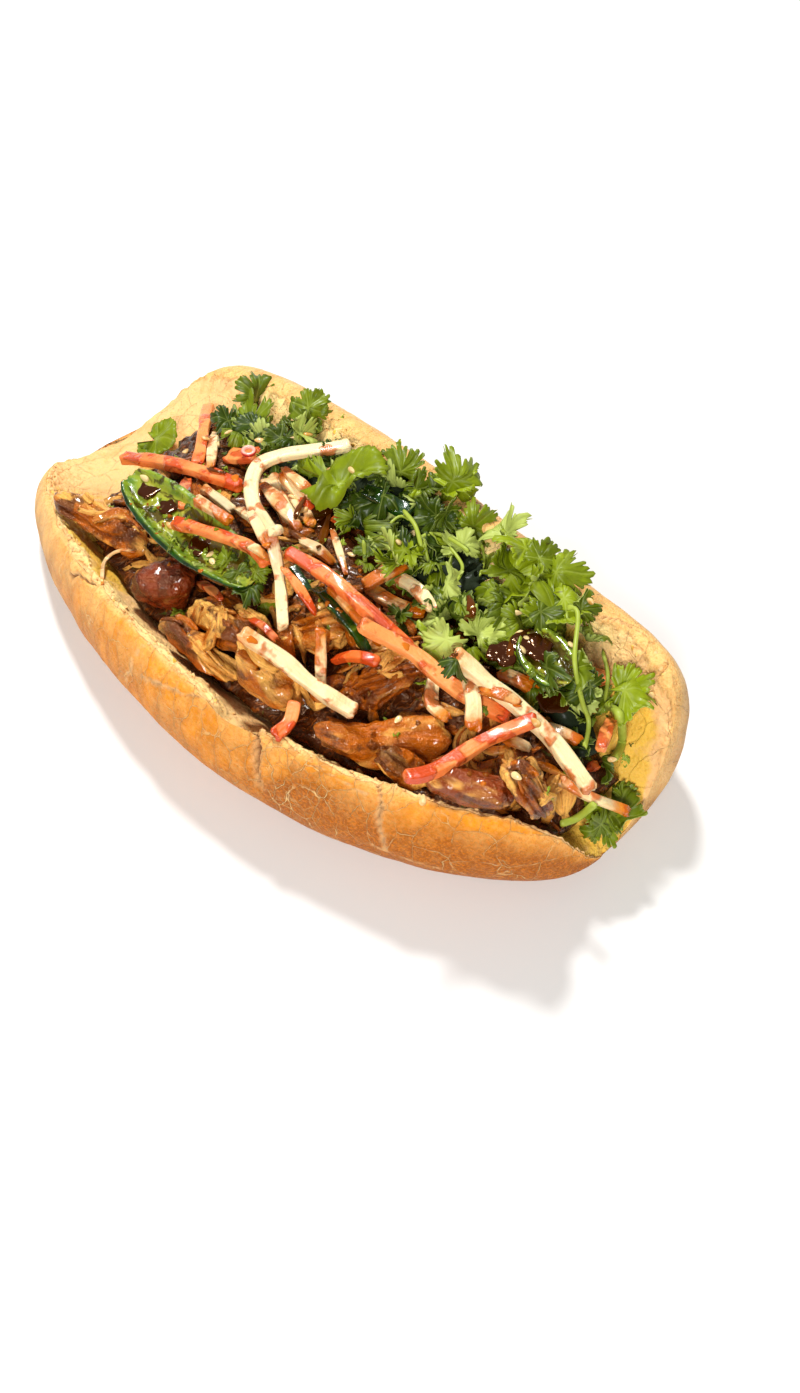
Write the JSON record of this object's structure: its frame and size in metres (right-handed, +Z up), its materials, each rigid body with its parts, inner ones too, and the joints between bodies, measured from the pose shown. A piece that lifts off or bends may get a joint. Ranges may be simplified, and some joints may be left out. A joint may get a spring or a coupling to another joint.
{
  "type": "banh mi sandwich",
  "caption": "Crusty split roll opened like a trough and filled with glazed pulled meat, carrot and daikon strips, green chilli slices and coriander.",
  "frame": {"origin": "middle of the sandwich's underside, on the table", "axes": "+X along the roll towards its blunt open end, +Z up, -Y towards the lower front half of the roll"},
  "size_m": [0.2346, 0.1202, 0.0615],
  "materials": {
    "crust": "baked bread crust, satin, with a matt pale crumb inside",
    "filling": "wet with sauce",
    "meat": "glazed roasted meat, glossy",
    "dark_meat": "dark glazed roasted meat, glossy",
    "carrot": "moist pickled carrot",
    "daikon": "moist pickled daikon",
    "green_chilli": "glossy wet chilli skin",
    "red_chilli": "glossy wet chilli flesh",
    "herb": "fresh leaf, satin"
  },
  "bodies": {
    "root": {"bread": "crust", "carrot_cross": "carrot", "carrot_dark_short": "carrot", "carrot_fallen": "carrot", "carrot_left_curl": "carrot", "carrot_left_middle": "carrot", "carrot_left_top": "carrot", "carrot_left_upright": "carrot", "carrot_middle_long": "carrot", "carrot_pale_long": "carrot", "carrot_right_lower": "carrot", "carrot_right_upper": "carrot", "chilli_big_slice": "green_chilli", "chilli_cup_slice": "green_chilli", "chilli_dark_slice": "green_chilli", "chilli_thin_slice": "green_chilli", "daikon_back_short_a": "daikon", "daikon_back_short_b": "daikon", "daikon_broken_long": "daikon", "daikon_cross_short": "daikon", "daikon_curved_a": "daikon", "daikon_curved_b": "daikon", "daikon_fan_a": "daikon", "daikon_fan_b": "daikon", "daikon_great_curl": "daikon", "daikon_green_edge": "daikon", "daikon_left_drape": "daikon", "daikon_pair": "daikon", "daikon_right_long": "daikon", "daikon_right_short": "daikon", "daikon_right_stained": "daikon", "daikon_right_thin": "daikon", "daikon_stained_low": "daikon", "daikon_upright": "daikon", "filling_bed": "filling", "herb_broad_leaf": "herb", "herb_crown_leaf": "herb", "herb_hanging_leaf": "herb", "herb_heap": "herb", "herb_left_sprig": "herb", "herb_left_tip": "herb", "herb_notch_leaf": "herb", "herb_pale_leaf": "herb", "herb_right_leaf": "herb", "herb_rim_leaf": "herb", "herb_stem_leaf": "herb", "herb_tip_leaf": "herb", "meat_char_piece": "meat", "meat_crumbly_piece": "meat", "meat_dark_piece": "dark_meat", "meat_end_piece": "meat", "meat_fold_piece": "meat", "meat_long_piece": "meat", "meat_low_piece": "dark_meat", "meat_middle_piece": "meat", "meat_pale_end": "meat", "meat_round_piece": "dark_meat", "meat_sauced_piece": "meat", "meat_shreds": "meat", "red_chilli_ring": "red_chilli"}
  },
  "joints": []
}
